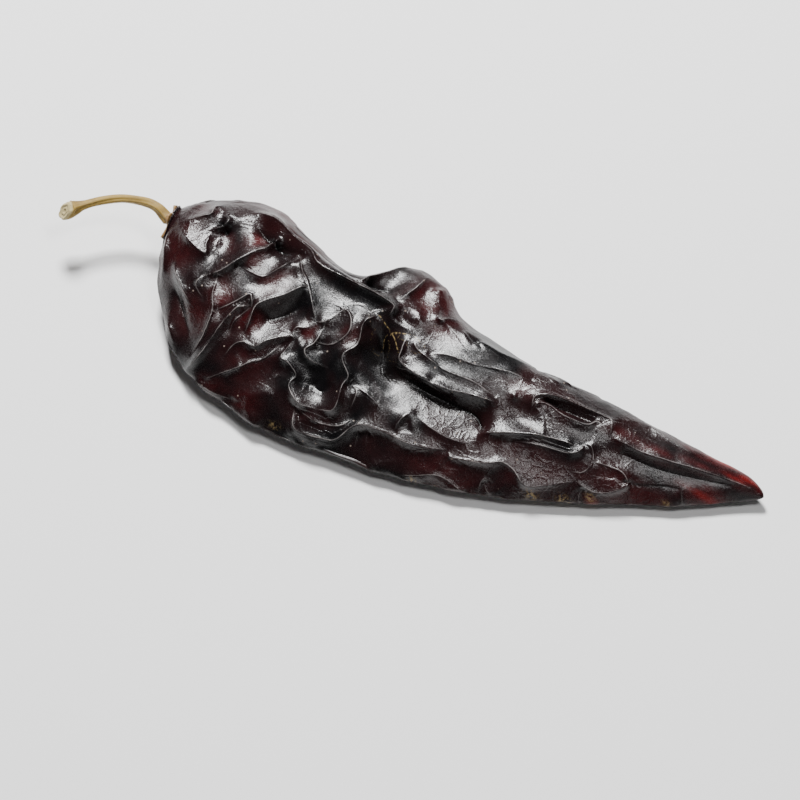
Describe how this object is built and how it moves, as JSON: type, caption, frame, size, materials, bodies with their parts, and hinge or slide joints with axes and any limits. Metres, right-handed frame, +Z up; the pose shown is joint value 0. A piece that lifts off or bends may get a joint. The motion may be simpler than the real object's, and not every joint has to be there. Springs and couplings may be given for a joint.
{
  "type": "dried chilli",
  "caption": "Large dried chilli pod lying on its side, leathery skin with deep wrinkles, a pointed tip and a curved dry stem with its calyx.",
  "frame": {"origin": "under the middle of the whole, stem included, on the surface that it lies on", "axes": "+X from the stem to the tip, +Y to the far side in the picture, +Z up"},
  "size_m": [0.1879, 0.0548, 0.02],
  "materials": {
    "skin": "satin, near-black red, wrinkled",
    "stem": "dry straw-coloured, faintly ridged"
  },
  "bodies": {
    "root": {"pod": "skin", "stem": "stem"}
  },
  "joints": []
}
